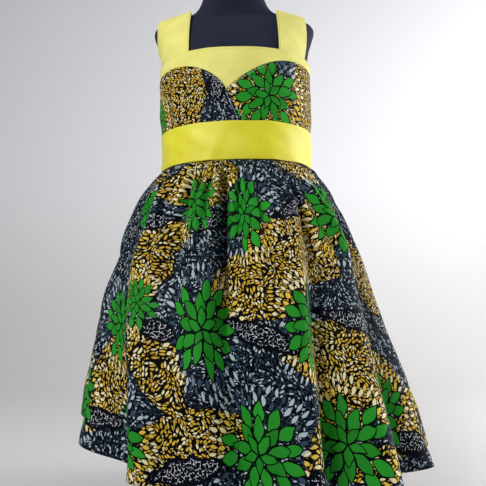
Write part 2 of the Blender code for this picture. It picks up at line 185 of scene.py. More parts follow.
base_profile = [
    (AXIS, 0.0),
    (BASE_RADIUS, 0.0),
    (BASE_RADIUS, BASE_TOP * 0.78),
    (BASE_RADIUS * 0.93, BASE_TOP * 0.92),
    (0.030, BASE_TOP * 0.96),
    (COLLAR_FOOT, BASE_TOP + 0.0015),
    (COLLAR_TOP, BASE_TOP + 0.0150),
    (POLE_RADIUS + COLLAR_GAP, BASE_TOP + 0.0165),
    (POLE_RADIUS + COLLAR_GAP, BASE_TOP + 0.0140),
]
add_turned(
    "stand_base_plate", rounded(base_profile, 0.0022), stand_paint, "stand_paint", "stand_base"
)
plate_profile = [
    (AXIS, PLATE_FOOT), (PLATE_RADIUS, PLATE_FOOT), (PLATE_RADIUS, PLATE_TOP), (AXIS, PLATE_TOP)
]
add_turned(
    "stand_top_plate", rounded(plate_profile, 0.0015), stand_paint, "stand_paint", "stand_plate"
)

steel, steel_tree, steel_shader = shader_of("brushed_steel", (0.55, 0.55, 0.56), 0.3, 1.0)
stretched = node(steel_tree, "ShaderNodeMapping", None, Vector=object_place(steel_tree))
stretched.inputs["Scale"].default_value = (40.0, 40.0, 1500.0)
brushing = noise(steel_tree, stretched.outputs["Vector"], 1.0, 4.0)
brushed = spread(steel_tree, brushing, 0.3, 0.7, 0.22, 0.42)
steel_tree.links.new(brushed, steel_shader.inputs["Roughness"])
bump(steel_tree, steel_shader, brushing, 0.15, 0.0001)
pole_profile = [
    (AXIS, POLE_FOOT),
    (POLE_RADIUS, POLE_FOOT),
    (POLE_RADIUS, POLE_TOP - CAP_HEIGHT),
    (POLE_RADIUS + CAP_LIP, POLE_TOP - CAP_HEIGHT + 0.002),
    (POLE_RADIUS + CAP_LIP, POLE_TOP),
    (AXIS, POLE_TOP),
]
add_turned("stand_tube", rounded(pole_profile, 0.0010), steel, "stand_steel", "stand_pole", 48)

# ---------------------------------------------------------------- dress form
# A limbless child's torso with shoulder stumps and a short neck, moulded in hard foam and
# covered with ribbed navy jersey pulled tight.

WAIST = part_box("waistband_front")[0][2]
SQUARENESS = 2.25

FormSection = namedtuple("FormSection", "above_waist half_width half_depth centre_y")
FORM = [FormSection(*row) for row in (
    (-0.1810, 0.0860, 0.0700, 0.002), (-0.1785, 0.0975, 0.0800, 0.002),
    (-0.1710, 0.1030, 0.0850, 0.002), (-0.1360, 0.1065, 0.0890, 0.003),
    (-0.0860, 0.1050, 0.0885, 0.001), (-0.0360, 0.1020, 0.0865, 0.000),
    (0.0000, 0.1010, 0.0853, -0.001), (0.0500, 0.1015, 0.0845, -0.001),
    (0.1000, 0.1035, 0.0850, -0.001), (0.1280, 0.1035, 0.0835, 0.000),
    (0.1510, 0.1035, 0.0790, 0.002), (0.1750, 0.1065, 0.0700, 0.004),
    (0.1950, 0.1125, 0.0590, 0.006), (0.2090, 0.1162, 0.0490, 0.007),
    (0.2155, 0.1135, 0.0430, 0.007), (0.2195, 0.1055, 0.0400, 0.007),
    (0.2235, 0.0910, 0.0385, 0.006), (0.2285, 0.0700, 0.0385, 0.005),
    (0.2350, 0.0580, 0.0395, 0.004), (0.2450, 0.0495, 0.0405, 0.002),
    (0.2610, 0.0437, 0.0410, 0.000), (0.2800, 0.0420, 0.0400, 0.000),
    (0.3000, 0.0412, 0.0395, -0.001), (0.3040, 0.0388, 0.0370, -0.001),
    (0.3055, 0.0330, 0.0318, -0.001),
)]


def smooth_table(rows, at):
    """The columns of a table at values of its first column, on a curve with no overshoot."""
    table, at = np.array(rows, float), np.asarray(at, float)
    keys, values = table[:, 0], table[:, 1:]
    slopes = np.diff(values, axis=0) / np.diff(keys)[:, None]
    tangents = np.zeros_like(values)
    same_way = slopes[:-1] * slopes[1:] > 0
    tangents[1:-1] = np.where(
        same_way, 2 * slopes[:-1] * slopes[1:] / np.where(same_way, slopes[:-1] + slopes[1:], 1), 0
    )
    tangents[0], tangents[-1] = slopes[0], slopes[-1]
    i = np.clip(np.searchsorted(keys, at, side="right") - 1, 0, len(keys) - 2)
    h = (keys[i + 1] - keys[i])[..., None]
    t = np.clip((at - keys[i])[..., None] / h, 0.0, 1.0)
    curve = (
        (1 + 2 * t) * (1 - t) ** 2 * values[i]
        + t * (1 - t) ** 2 * h * tangents[i]
        + t * t * (3 - 2 * t) * values[i + 1]
        + t * t * (t - 1) * h * tangents[i + 1]
    )
    return np.moveaxis(curve, -1, 0)


def ring(angle, half_width, half_depth, centre_y, z):
    """Points of level rings, rounder than a box and squarer than an ellipse. Angles are degrees
    from the centre front, positive towards +X."""
    across, along = np.sin(np.radians(angle)), np.cos(np.radians(angle))
    shape = np.abs(across / half_width) ** SQUARENESS + np.abs(along / half_depth) ** SQUARENESS
    radius = shape ** (-1 / SQUARENESS)
    return np.stack(np.broadcast_arrays(radius * across, centre_y - radius * along, z), axis=-1)


def on_form(angle, z, out=0.0):
    half_width, half_depth, centre_y = smooth_table(FORM, np.asarray(z) - WAIST)
    return ring(angle, half_width + out, half_depth + out, centre_y, z)


FORM_ROWS, FORM_COLUMNS = 150, 128
levels = np.interp(
    np.linspace(0, len(FORM) - 1, FORM_ROWS), range(len(FORM)), [row.above_waist for row in FORM]
)
around = np.linspace(-180.0, 180.0, FORM_COLUMNS, endpoint=False)
form_points = on_form(around[None, :], WAIST + levels[:, None])
foot, top = form_points[0].mean(axis=0), form_points[-1].mean(axis=0)
foot_cap = [foot + (form_points[0] - foot) * share for share in (0.004, 0.35, 0.7)]
top_cap = [top + (form_points[-1] - top) * share for share in (0.75, 0.4, 0.004)]
form_points = np.concatenate([foot_cap, form_points, top_cap])

jersey, jersey_tree, jersey_shader = shader_of("navy_jersey", (0.006, 0.007, 0.016), 0.85)
for key, value in (
    ("Sheen Weight", 0.05), ("Specular IOR Level", 0.25), ("Sheen Roughness", 0.45),
    ("Sheen Tint", (0.45, 0.5, 0.8, 1.0)),
):
    jersey_shader.inputs[key].default_value = value
ribs = node(
    jersey_tree, "ShaderNodeTexWave", {"bands_direction": "X"},
    Vector=object_place(jersey_tree), Scale=380.0, Distortion=1.2, Detail=1.0,
)
fuzz = noise(jersey_tree, object_place(jersey_tree), 1400.0, 3.0)
knit = node(jersey_tree, "ShaderNodeMath", {"operation": "ADD"}, _0=ribs.outputs["Fac"], _1=fuzz)
bump(jersey_tree, jersey_shader, knit.outputs["Value"], 0.35, 0.0003)
shade = noise(jersey_tree, object_place(jersey_tree), 60.0, 5.0)
jersey_colour = node(
    jersey_tree, "ShaderNodeMix", {"data_type": "RGBA"}, Factor=shade,
    _6=(0.006, 0.008, 0.020, 1.0), _7=(0.011, 0.015, 0.036, 1.0),
)
jersey_tree.links.new(jersey_colour.outputs[2], jersey_shader.inputs["Base Color"])
torso = add_piece(
    "form_covered_torso", grid_mesh("form_covered_torso", form_points, closed_round=True),
    jersey, "form_jersey", "form_torso",
)

# ---------------------------------------------------------------- printed cotton
# The wax print: almond seeds in gold and cream on brown-black, and in slate and white on navy,
# with green leaf rosettes and navy islands of fine white squiggles. It is printed on one
# length of cotton, so its motifs are charted once, in centimetres on the flat cloth.

Rosette = namedtuple("Rosette", "across down radius turn slim")
Patch = namedtuple("Patch", "across down half_length half_width tilt")
Chart = namedtuple("Chart", "rosettes gold islands")
REPEAT_ACROSS, REPEAT_DOWN = 48.0, 40.0
ROSETTE_RADIUS, FULL_TURN = 4.2, 6.28
SKIRT_CHART = Chart(
    rosettes=[Rosette(*row) for row in (
        (-5.0, 6.0, 3.9, 0.80, 0.66), (1.0, 7.7, 4.6, 0.50, 0.44), (13.2, 6.8, 4.6, 0.30, 0.80),
        (-11.0, 6.4, 3.0, 0.15, 0.42), (-4.4, 21.0, 5.2, 0.10, 0.66), (6.6, 20.5, 4.6, 0.70, 0.58),
        (-17.5, 21.0, 4.2, 0.40, 0.60), (-10.8, 18.5, 2.8, 0.45, 0.60), (-14.9, 32.3, 3.8, 0.90, 0.85),
        (0.8, 33.2, 4.6, 0.20, 0.90), (13.0, 32.2, 4.8, 0.60, 0.86), (22.4, 28.8, 4.2, 0.35, 0.75),
    )],
    gold=[Patch(*row) for row in (
        (-4.5, 3.0, 5.5, 4.2, 15), (-13.5, 3.0, 5.0, 2.0, 35), (-8.5, 10.5, 4.5, 1.9, 25),
        (-10.5, 15.0, 5.5, 2.2, 70), (1.5, 16.5, 5.5, 4.0, 20), (4.5, 11.5, 6.0, 3.4, 60),
        (11.0, 8.0, 8.0, 3.4, 25), (8.5, 12.0, 5.5, 3.6, -30), (22.5, 13.0, 6.0, 2.0, -75),
        (12.5, 24.0, 9.0, 4.6, 0), (17.5, 25.0, 8.5, 5.0, 0), (12.5, 28.5, 5.5, 3.0, 20),
        (-19.5, 27.0, 8.0, 2.8, 55), (-9.5, 25.5, 6.0, 2.4, -70), (-6.0, 31.5, 6.5, 2.6, 5),
        (-11.5, 35.5, 4.5, 2.6, 55), (8.5, 31.5, 5.0, 2.2, 45), (10.5, 0.5, 5.5, 1.6, -5),
        (16.0, 34.0, 4.5, 1.8, 20),
    )],
    islands=[Patch(*row) for row in (
        (-10.0, 8.3, 2.8, 1.2, 10), (-2.6, 8.4, 3.8, 1.2, 28), (6.4, 6.4, 3.8, 1.3, 32),
        (15.5, 19.7, 6.4, 1.25, -8), (1.6, 21.8, 4.4, 1.25, -26), (-9.2, 21.5, 1.8, 1.3, -20),
        (-7.3, 34.9, 4.8, 1.35, 14), (-22.0, 31.5, 3.6, 1.3, 0), (6.5, 35.5, 1.9, 1.0, -40),
        (-16.0, 8.5, 2.8, 1.2, 10), (24.5, 18.8, 2.6, 1.3, -30),
    )],
)


def from_centre(value, centre, repeat):
    """How far each value lies from the nearest of a motif's repeats."""
    return (value - centre + repeat / 2) % repeat - repeat / 2


def lens_reach(across, down, patches):
    """How far, in centimetres, each place lies inside the nearest of these pointed patches."""
    reach = np.full(across.shape, -99.0)
    for patch in patches:
        turned = math.radians(patch.tilt)
        x = from_centre(across, patch.across, REPEAT_ACROSS)
        y = -from_centre(down, patch.down, REPEAT_DOWN)
        along = x * math.cos(turned) + y * math.sin(turned)
        over = -x * math.sin(turned) + y * math.cos(turned)
        lens = 1 - (along / patch.half_length) ** 2 - np.abs(over) / patch.half_width
        reach = np.maximum(reach, lens * patch.half_width)
    return reach


def chart_print(mesh, chart, shift=(0.0, 0.0)):
    """Marks each corner of a printed mesh with its place in the nearest rosette, and with how far
    it lies inside the gold patches and the islands. shift is the piece's place on the cloth."""
    corners = np.arange(len(mesh.loops))
    flat = np.empty(len(corners) * 2)
    mesh.uv_layers["cloth"].data.foreach_get("uv", flat)
    across, down = flat.reshape(-1, 2).T * 100
    across, down = across + shift[0], -down + shift[1]
    # every face has four corners, and they all take the rosette nearest the first of them
    first, face_of = corners[::4], corners // 4
    best = np.full(len(first), 1e9)
    nearest = np.zeros((len(corners), 2))
    for rosette in chart.rosettes:
        x = from_centre(across, rosette.across, REPEAT_ACROSS)
        y = from_centre(down, rosette.down, REPEAT_DOWN)
        turned = rosette.turn * FULL_TURN
        unit = rosette.radius / ROSETTE_RADIUS
        local = (x / rosette.slim + 1j * y) / unit * complex(math.cos(turned), math.sin(turned))
        distance = np.abs(local[first])
        closer = distance < best
        best = np.where(closer, distance, best)
        nearest[closer[face_of]] = np.stack([local.real, local.imag], axis=-1)[closer[face_of]]
    mesh.uv_layers.new(name="rosette").data.foreach_set("uv", nearest.reshape(-1))
    zones = [lens_reach(across, down, patches) for patches in (chart.gold, chart.islands)]
    zones = np.stack(zones, axis=-1)
    mesh.uv_layers.new(name="zones").data.foreach_set("uv", zones.reshape(-1))
    mesh.uv_layers["cloth"].active_render = True


def resize_seeds(mesh, across, down):
    """Draws a charted piece's seeds smaller by these factors. across may vary down the cloth."""
    layer = mesh.uv_layers["cloth"].data
    flat = np.empty(len(layer) * 2)
    layer.foreach_get("uv", flat)
    flat = flat.reshape(-1, 2)
    if callable(across):
        across = across(-flat[:, 1])
    flat *= np.stack(np.broadcast_arrays(across, np.full(len(flat), down)), axis=-1)
    layer.foreach_set("uv", flat.reshape(-1))


def arithmetic(tree):
    """Small functions that add Math nodes to a tree, to keep sums of them readable."""

    def math_node(operation, *values):
        made = node(tree, "ShaderNodeMath", {"operation": operation})
        for i, value in enumerate(values):
            if isinstance(value, bpy.types.NodeSocket):
                tree.links.new(value, made.inputs[i])
            else:
                made.inputs[i].default_value = value
        return made.outputs["Value"]

    def soft_step(value, low, high):
        return node(
            tree, "ShaderNodeMapRange", {"interpolation_type": "SMOOTHSTEP"},
            Value=value, From_Min=low, From_Max=high,
        ).outputs["Result"]

    def blend(share, first, second):
        """first where share is 0 and second where it is 1, of two colours."""
        mixed = node(tree, "ShaderNodeMix", {"data_type": "RGBA"}, Factor=share)
        for socket, value in ((mixed.inputs[6], first), (mixed.inputs[7], second)):
            if isinstance(value, bpy.types.NodeSocket):
                tree.links.new(value, socket)
            else:
                socket.default_value = (*value, 1.0)
        return mixed.outputs[2]

    return math_node, soft_step, blend


GOLD_GROUND, DEEP_GOLD = (0.0016, 0.0010, 0.0004), (0.56, 0.33, 0.022)
GOLD, CREAM = (0.76, 0.52, 0.065), (0.84, 0.74, 0.42)
NAVY, DEEP_SLATE = (0.0008, 0.0016, 0.0050), (0.010, 0.020, 0.036)
SLATE, WHITE = (0.034, 0.067, 0.104), (0.43, 0.51, 0.56)
LEAF, DEEP_LEAF = (0.024, 0.320, 0.026), (0.013, 0.200, 0.016)
LEAF_GROUND, SQUIGGLE_WHITE = (0.0006, 0.0040, 0.0010), (0.80, 0.84, 0.93)

wax_print, print_tree, print_shader = shader_of("leaf_wax_print", GOLD, 0.52)
math_node, soft_step, blend = arithmetic(print_tree)
plus, minus, times, divide = (
    partial(math_node, operation) for operation in ("ADD", "SUBTRACT", "MULTIPLY", "DIVIDE")
)


def absolute(value):
    return math_node("ABSOLUTE", value)


def vector_math(operation, first, second):
    inputs = {"_0": first, "Scale" if operation == "SCALE" else "_1": second}
    made = node(print_tree, "ShaderNodeVectorMath", {"operation": operation}, **inputs)
    return made.outputs["Vector"]


def uv_of(tree, name):
    return node(tree, "ShaderNodeUVMap", {"uv_map": name}).outputs["UV"]


cloth_place = uv_of(print_tree, "cloth")
wobble = node(
    print_tree, "ShaderNodeTexNoise", {"noise_dimensions": "2D"},
    Vector=cloth_place, Scale=55.0, Detail=2.0,
)
centred_wobble = vector_math("SUBTRACT", wobble.outputs["Color"], (0.5, 0.5, 0.5))


def warped(place, amount):
    """The place pushed about by the cloth's wobble, so that no motif is drawn with a compass."""
    return vector_math("ADD", place, vector_math("SCALE", centred_wobble, amount))


def parts_of(vector):
    split = node(print_tree, "ShaderNodeSeparateXYZ", None, Vector=vector)
    return split.outputs["X"], split.outputs["Y"]


def random_parts(colour):
    return node(print_tree, "ShaderNodeSeparateColor", None, Color=colour).outputs


def turned_by(x, y, angle):
    cosine, sine = math_node("COSINE", angle), math_node("SINE", angle)
    return plus(times(x, cosine), times(y, sine)), minus(times(y, cosine), times(x, sine))


def voronoi(place, scale, randomness, feature="F1"):
    return node(
        print_tree, "ShaderNodeTexVoronoi", {"voronoi_dimensions": "2D", "feature": feature},
        Vector=place, Scale=scale, Randomness=randomness,
    ).outputs


ZONE_WOBBLE, SEED_WOBBLE, ROSETTE_WOBBLE, SQUIGGLE_WOBBLE = 1.3, 0.004, 0.55, 0.006
gold_reach, island_reach = parts_of(warped(uv_of(print_tree, "zones"), ZONE_WOBBLE))
gold_share = soft_step(gold_reach, -0.03, 0.03)

# Seeds lie in tufts that each point their own way, and every seed has a cell of its own.
seed_place = warped(cloth_place, SEED_WOBBLE)
TUFT_RANDOMNESS, SEED_RANDOMNESS, SEED_LEAN = 0.9, 0.75, 1.3


def seeds(tuft, cell, slim, half_length, half_width):
    """Masks and random numbers for a scatter of almond seeds (half sizes in cells)."""
    tufts = voronoi(seed_place, 1 / tuft, TUFT_RANDOMNESS)
    border = voronoi(seed_place, 1 / tuft, TUFT_RANDOMNESS, "DISTANCE_TO_EDGE")["Distance"]
    pick = random_parts(tufts["Color"])
    x, y = parts_of(vector_math("SUBTRACT", seed_place, tufts["Position"]))
    x, y = turned_by(x, y, times(pick["Red"], 2 * math.pi))
    size = plus(0.85, times(pick["Green"], 0.4))
    local = node(
        print_tree, "ShaderNodeCombineXYZ", None,
        X=plus(times(x, size), pick["Blue"]), Y=times(y, times(size, slim)),
    ).outputs["Vector"]
    cells = voronoi(local, 1 / cell, SEED_RANDOMNESS)
    edge = voronoi(local, 1 / cell, SEED_RANDOMNESS, "DISTANCE_TO_EDGE")["Distance"]
    random = random_parts(cells["Color"])
    x, y = parts_of(vector_math("SUBTRACT", local, cells["Position"]))
    y = plus(y, times(x, times(minus(random["Blue"], 0.5), SEED_LEAN)))
    along = divide(x, half_length * cell)
    over = divide(absolute(y), half_width * cell)
    lens = minus(minus(1.0, times(along, along)), over)
    inside = times(soft_step(lens, 0.02, 0.18), soft_step(edge, 0.06, 0.12))
    return times(inside, soft_step(border, 0.015, 0.040)), random["Green"], random["Red"]


seed_mask, seed_pick, seed_tone = seeds(
    tuft=0.0150, cell=0.0062, slim=1.65, half_length=0.56, half_width=0.34
)
fleck_mask, fleck_pick, fleck_tone = seeds(
    tuft=0.0125, cell=0.0049, slim=1.60, half_length=0.54, half_width=0.33
)
gold_seed = blend(soft_step(seed_pick, 0.62, 0.66), blend(seed_tone, DEEP_GOLD, GOLD), CREAM)
slate_seed = blend(soft_step(fleck_pick, 0.60, 0.64), blend(fleck_tone, DEEP_SLATE, SLATE), WHITE)
gold_cloth = blend(seed_mask, GOLD_GROUND, gold_seed)
slate_cloth = blend(fleck_mask, NAVY, slate_seed)
colour = blend(gold_share, slate_cloth, gold_cloth)
edge_line = minus(1.0, soft_step(absolute(gold_reach), 0.04, 0.16))
colour = blend(edge_line, colour, NAVY)

# Leaves and petals stand in rings round each rosette's centre.
rosette_x, rosette_y = parts_of(warped(uv_of(print_tree, "rosette"), ROSETTE_WOBBLE))
out_from = math_node("SQRT", plus(times(rosette_x, rosette_x), times(rosette_y, rosette_y)))
round_by = plus(divide(math_node("ARCTAN2", rosette_y, rosette_x), 2 * math.pi), 0.5)
LeafRing = namedtuple("LeafRing", "centre half_length half_width count")
LEAF_RINGS = [
    LeafRing(3.30, 1.10, 0.56, 14),
    LeafRing(2.10, 1.12, 0.58, 9),
    LeafRing(0.92, 1.00, 0.46, 5),
]
PETAL_RINGS = [
    LeafRing(5.50, 0.42, 0.18, 48),
    LeafRing(4.65, 0.48, 0.22, 38),
]
LEAF_STRAY, PETAL_STRAY, LEAF_GAP, MISSING_LEAVES = 0.45, 1.3, 0.05, 0.16


def leaf_ring(row, seed, stray):
    """How far inside a leaf of this ring each place lies, in centimetres, the leaf's random
    tone, and whether the place is near the ring at all."""
    slots = plus(times(round_by, float(row.count)), seed * 0.37)
    which = math_node("FLOOR", slots)
    tone = node(
        print_tree, "ShaderNodeTexWhiteNoise", {"noise_dimensions": "1D"},
        W=plus(math_node("MODULO", which, float(row.count)), seed * 31.7),
    ).outputs["Value"]
    aside = minus(minus(slots, which), 0.5)
    over = absolute(times(aside, times(out_from, 2 * math.pi / row.count)))
    from_ring = minus(out_from, row.centre)
    shift = times(minus(tone, 0.5), row.half_length * stray)
    along = divide(minus(from_ring, shift), row.half_length)
    lens = minus(minus(1.0, times(along, along)), divide(over, row.half_width))
    beside = minus(times(out_from, math.pi / row.count), plus(over, LEAF_GAP))
    reach = math_node("MINIMUM", times(lens, row.half_width), beside)
    return reach, tone, math_node("LESS_THAN", absolute(from_ring), row.half_length * 1.7)


for number, row in enumerate(PETAL_RINGS):
    reach, tone, near = leaf_ring(row, 5.0 + number, PETAL_STRAY)
    slate_petal = blend(soft_step(tone, 0.45, 0.5), SLATE, WHITE)
    gold_petal = blend(soft_step(tone, 0.4, 0.45), GOLD, CREAM)
    ground = blend(gold_share, NAVY, GOLD_GROUND)
    colour = blend(times(near, soft_step(reach, -0.10, -0.06)), colour, ground)
    petal = blend(gold_share, slate_petal, gold_petal)
    colour = blend(times(near, soft_step(reach, 0.0, 0.03)), colour, petal)

# Islands lie over the seeds, with their broken white squiggles well inside the edge.
squiggle_place = warped(cloth_place, SQUIGGLE_WOBBLE)
lines = voronoi(squiggle_place, 250.0, 1.0, "DISTANCE_TO_EDGE")["Distance"]
breaks = noise(print_tree, cloth_place, 380.0, 1.0, "2D")
squiggle = times(minus(1.0, soft_step(lines, 0.035, 0.085)), soft_step(breaks, 0.47, 0.52))
colour = blend(soft_step(island_reach, 0.0, 0.05), colour, NAVY)
squiggle = times(squiggle, soft_step(island_reach, 0.34, 0.42))
colour = blend(squiggle, colour, SQUIGGLE_WHITE)

# Green leaves lie over everything, the outer ring first and with a few of its leaves missing.
for number, row in enumerate(LEAF_RINGS):
    reach, tone, near = leaf_ring(row, float(number), LEAF_STRAY)
    if number == 0:
        reach = minus(reach, times(math_node("LESS_THAN", tone, MISSING_LEAVES), 9.0))
    green = blend(tone, DEEP_LEAF, LEAF)
    colour = blend(times(near, soft_step(reach, -0.13, -0.09)), colour, LEAF_GROUND)
    colour = blend(times(near, soft_step(reach, 0.03, 0.06)), colour, green)

# Dye takes unevenly on the threads of the weave.
threads = noise(print_tree, cloth_place, 2600.0, 2.0, "2D")
dyed = vector_math("SCALE", colour, spread(print_tree, threads, 0.3, 0.7, 0.82, 1.14))
print_tree.links.new(dyed, print_shader.inputs["Base Color"])


def weave(tree, shader, place, strength):
    """Plain weave: warp and weft ridges two thirds of a millimetre apart, with slubs."""
    warp, weft = (
        node(
            tree, "ShaderNodeTexWave", {"bands_direction": way, "wave_profile": "SIN"},
            Vector=place, Scale=480.0, Distortion=0.6, Detail=1.0,
        ).outputs["Fac"]
        for way in "XY"
    )
    math_here = arithmetic(tree)[0]
    slubs = noise(tree, place, 420.0, 3.0, "2D")
    surface = math_here("ADD", math_here("MAXIMUM", warp, weft), slubs)
    bump(tree, shader, surface, strength, 0.00025)


weave(print_tree, print_shader, cloth_place, 0.35)
print_shader.inputs["Specular IOR Level"].default_value = 0.05

# ---------------------------------------------------------------- skirt
# Three flared panels of the print, seamed at the sides and the centre back, gathered into the
# waistband and hemmed. It hangs free of the form in deep uneven flutes.

WALL = 0.0012
SEAM = 0.0004
SKIRT_DROP = 0.356
HEM_LIFT, HEM_LEFT_LIFT, HEM_RIGHT_LIFT = 0.15, 0.042, -0.008
HEM_TURN, HEM_SHARE = 0.0006, 0.963
ZIP_HALF_WIDTH, ZIP_SHARE = 0.0018, 0.15
SkirtSection = namedtuple("SkirtSection", "share half_width half_depth centre_x centre_y")
SKIRT = [SkirtSection(*row) for row in (
    (0.000, 0.1031, 0.0874, 0.000, -0.001), (0.020, 0.1085, 0.0935, 0.000, -0.002),
    (0.045, 0.1140, 0.1000, 0.000, -0.003), (0.120, 0.1275, 0.1155, 0.000, -0.004),
    (0.205, 0.1395, 0.1300, 0.001, -0.005), (0.310, 0.1505, 0.1440, 0.001, -0.006),
    (0.430, 0.1615, 0.1580, 0.002, -0.006), (0.600, 0.1795, 0.1780, 0.004, -0.007),
    (0.780, 0.1945, 0.1960, 0.009, -0.008), (1.000, 0.2090, 0.2120, 0.014, -0.009),
)]
# The crests and valleys of the flutes, round from the centre back. Angles are at the waist and
# at the hem, and the reaches are millimetres out of the mean shape, below the gathers, half way
# down and at the hem.
Fold = namedtuple("Fold", "waist_angle hem_angle upper middle hem")
FOLDS = [Fold(*row) for row in (
    (-180, -180, 3, 6, 9), (-170, -169, -5, -9, -13), (-161, -158, 4, 9, 15),
    (-151, -148, -6, -8, -12), (-143, -138, 3, 10, 18), (-133, -128, -5, -11, -16),
    (-125, -118, 4, 8, 13), (-116, -109, -6, -8, -12), (-107, -100, 3, 9, 15),
    (-98, -90, -5, -8, -11), (-91, -81, 4, 7, 10), (-84, -69, -4, -6, -8),
    (-76, -55, 4, 8, 11), (-66, -40, -6, -11, -18), (-50, -30, 4, 12, 18),
    (-30, -22, -8, -4, 2), (-18, -12, 4, 6, 8), (-7, -3, -14, -17, -12),
    (8, 5, 6, 8, 7), (27, 14.5, 7, 14, 20), (37, 21.5, -10, -15, -17),
    (55, 35, 6, 10, 21), (66, 47, -8, -11, -17), (76, 58, 4, 9, 13),
    (84, 70, -6, -9, -13), (91, 82, 4, 8, 14), (102, 95, -5, -9, -12),
    (112, 107, 5, 10, 17), (122, 118, -6, -8, -13), (131, 129, 3, 7, 11),
    (142, 141, -5, -10, -15), (153, 152, 4, 9, 16), (167, 166, -6, -8, -12),
    (180, 180, 3, 6, 9),
)]
REACH_SHARES = (0.0, 0.16, 0.55, 1.0)
# Sharp creases pressed between the flutes where the gathers pull: the angle each one leaves the
# band at, the angle it has drifted to at its foot, how far down it runs, its depth in
# millimetres, and how wide it is.
Crease = namedtuple("Crease", "top_angle foot_angle foot_share depth half_angle")
CREASES = [Crease(*row) for row in (
    (-30, -27, 0.50, 8.25, 2.04), (-8, -5, 0.72, 10.5, 1.87), (11, 12, 0.36, 6, 2.04),
    (31, 41, 0.52, 9.75, 2.21), (52, 57, 0.55, 8.25, 2.38), (-50, -47, 0.48, 7.5, 2.38),
    (-68, -71, 0.55, 7.5, 2.55), (74, 77, 0.42, 6.75, 2.55), (97, 101, 0.50, 7.5, 2.55),
    (119, 121, 0.60, 8.25, 2.38), (141, 138, 0.46, 7.5, 2.38), (162, 159, 0.55, 7.5, 2.38),
    (-93, -96, 0.46, 7.5, 2.55), (-116, -120, 0.58, 8.25, 2.38), (-139, -137, 0.44, 6.75, 2.38),
    (-160, -158, 0.55, 7.5, 2.38),
)]
# Fine gathers under the band, then soft drag lines below them.
Gather = namedtuple("Gather", "depth crests seed stretch")
GATHERS = [
    Gather(0.0026, 92, 0.7, (0.0, 0.016, 0.02, 0.24)),
    Gather(0.0022, 61, 2.9, (0.0, 0.016, 0.02, 0.24)),
    Gather(0.0048, 37, 1.3, (0.01, 0.09, 0.16, 0.55)),
]
SWAY = 0.0012
folds = np.array(FOLDS, float)


def eased(share):
    share = np.clip(share, 0.0, 1.0)
    return share * share * (3.0 - 2.0 * share)


def faded(share, start, rise, end, fall):
    """1 over a stretch of the skirt's length, eased in over rise and out over fall."""
    return eased((share - start) / rise) * (1 - eased((share - end) / fall))


def ripple(angle, count, seed):
    """An uneven wave round the skirt, about this many crests to the full turn."""
    turns = np.radians(angle)
    drift = 0.9 * np.sin(turns * 3 + seed) + 0.6 * np.sin(turns * 7 + 2.1 * seed)
    strong = 0.62 + 0.38 * np.sin(turns * 5 + 1.7 * seed) * np.sin(turns * 2 + seed)
    return np.sin(turns * count + drift * 1.6 + seed) * strong


def skirt_points(position, share):
    """Points of the skirt's inner face. Position counts folds, and share runs down it."""
    i = np.clip(position.astype(int), 0, len(FOLDS) - 2)
    part = position - i
    drift = eased(share)
    near = folds[i, 0] + (folds[i, 1] - folds[i, 0]) * drift
    far = folds[i + 1, 0] + (folds[i + 1, 1] - folds[i + 1, 0]) * drift
    angle = near + (far - near) * part

    def reach_of(fold):
        reaches = np.stack([np.zeros(len(FOLDS)), *folds[:, 2:].T], axis=-1) * 0.001
        out = np.zeros(np.broadcast(fold, share).shape)
        for k in range(3):
            start, end = REACH_SHARES[k], REACH_SHARES[k + 1]
            step = eased((share - start) / (end - start))
            out = out + (reaches[fold, k + 1] - reaches[fold, k]) * step
        return out

    reach = reach_of(i) + (reach_of(i + 1) - reach_of(i)) * eased(part)
    for gather in GATHERS:
        held = faded(share, *gather.stretch)
        reach = reach + gather.depth * held * ripple(angle, gather.crests, gather.seed)
    reach = reach + SWAY * eased(share / 0.3) * np.sin(share * 23 + np.radians(angle) * 9)
    for crease in CREASES:
        down = np.clip(share / crease.foot_share, 0.0, 1.0)
        line = crease.top_angle + (crease.foot_angle - crease.top_angle) * down
        pressed = eased((share - 0.02) / 0.11) * (1 - eased((down - 0.45) / 0.55))
        aside = (angle - line) / crease.half_angle
        beside = (np.abs(aside) - 2.1) / 1.1
        pressed = pressed * crease.depth * 0.001
        reach = reach + pressed * (np.exp(-(beside**2)) / 3 - np.exp(-(aside**2)))
    reach = reach + HEM_TURN * eased((share - HEM_SHARE) / 0.004)
    half_width, half_depth, centre_x, centre_y = smooth_table(SKIRT, share)
    flat = ring(angle, half_width, half_depth, centre_y, 0.0)
    away = flat - np.stack(np.broadcast_arrays(0.0, centre_y, flat[..., 2]), axis=-1)
    away = away / np.linalg.norm(away, axis=-1, keepdims=True)
    flat = flat + away * reach[..., None]
    side_lift = np.where(angle < 0, HEM_LEFT_LIFT, HEM_RIGHT_LIFT) * np.sin(np.radians(angle)) ** 2
    drop = WALL + share * (SKIRT_DROP - WALL - side_lift - HEM_LIFT * reach)
    flat[..., 0] += centre_x
    flat[..., 2] = WAIST - SEAM / 2 - drop
    along = np.stack([-away[..., 1], away[..., 0], np.zeros_like(away[..., 0])], axis=-1)
    return flat, along


def run_along(line):
    """How far each of a line's points is along it."""
    return np.concatenate([[0], np.cumsum(np.linalg.norm(np.diff(line, axis=0), axis=1))])


# The panels are cut as sectors of a ring, so the print fans out from the centre front.
CUT_TOP, CUT_LENGTH, CENTRE_FRONT = 0.900, 0.372, 17.4
COLUMNS_PER_FOLD, SKIRT_ROWS, WAIST_CROWDING = 24, 110, 1.25
fine = np.linspace(0, len(FOLDS) - 1, 1 + 40 * (len(FOLDS) - 1))
hem_run = run_along(skirt_points(fine, np.ones_like(fine))[0])
hem_run -= np.interp(CENTRE_FRONT, fine, hem_run)


def fold_near(angle):
    return int(np.abs(folds[:, 0] - angle).argmin())


